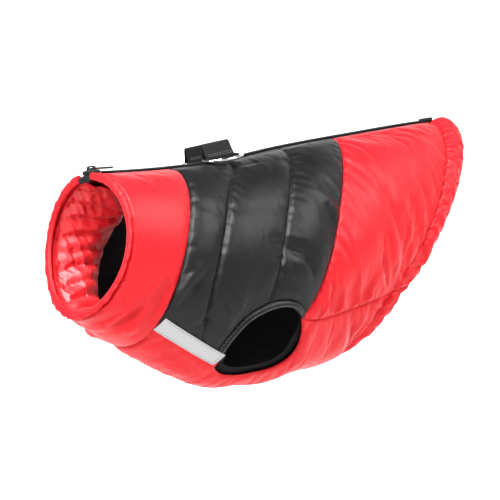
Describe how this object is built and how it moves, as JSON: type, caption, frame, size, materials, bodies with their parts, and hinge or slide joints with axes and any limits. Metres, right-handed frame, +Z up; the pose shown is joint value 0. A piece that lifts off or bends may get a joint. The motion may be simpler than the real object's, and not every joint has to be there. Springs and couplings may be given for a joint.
{
  "type": "dog winter jacket",
  "caption": "Padded winter jacket for a small dog, in its worn shape and empty: standing collar, quilted yoke, zip on the back, armholes, open hem and D-rings for a lead.",
  "frame": {"origin": "over the dog's withers, in the middle of the back at the zip, where the wearer holds the coat up", "axes": "+X along the back to the tail, -Y to the dog's left, +Z up, away from the wearer's back"},
  "size_m": [0.3678, 0.1378, 0.1728],
  "materials": {
    "red_cloth": "satin",
    "red_lining": "satin",
    "black_nylon": "satin",
    "black_lining": "matte",
    "black_webbing": "matte",
    "black_plastic": "satin",
    "black_metal": "satin",
    "reflective": "satin",
    "chrome": "polished"
  },
  "bodies": {
    "jacket": {"armhole_binding_left": "black_nylon", "armhole_binding_right": "black_nylon", "back_left": "red_cloth", "back_right": "red_cloth", "belly": "red_cloth", "collar": "red_cloth", "collar_lining": "red_lining", "hem_belly": "red_cloth", "hem_left": "red_cloth", "hem_right": "red_cloth", "lining_belly": "black_lining", "lining_left": "black_lining", "lining_right": "black_lining", "loop_left": "black_webbing", "loop_right": "black_webbing", "tape_left": "reflective", "tape_right": "reflective", "yoke_left": "black_nylon", "yoke_right": "black_nylon", "zip_box": "black_plastic", "zip_chain": "black_plastic", "zip_slider": "black_metal", "zip_tape_left": "black_webbing", "zip_tape_right": "black_webbing"},
    "zip_pull": {"zip_pull": "black_metal"},
    "ring_left": {"ring_left": "chrome"},
    "ring_right": {"ring_right": "chrome"}
  },
  "joints": [
    {"name": "zip_pull_hinge", "type": "hinge", "parent": "jacket", "child": "zip_pull", "pos_m": [-0.08437, 0, 0.01305], "axis": [0, -1, 0], "range_deg": [0, 170]},
    {"name": "ring_left_hinge", "type": "hinge", "parent": "jacket", "child": "ring_left", "pos_m": [0.016, -0.00966, 0.00192], "axis": [-1, 0, 0], "range_deg": [0, 80]},
    {"name": "ring_right_hinge", "type": "hinge", "parent": "jacket", "child": "ring_right", "pos_m": [0.016, 0.00966, 0.00192], "axis": [1, 0, 0], "range_deg": [0, 80]}
  ]
}
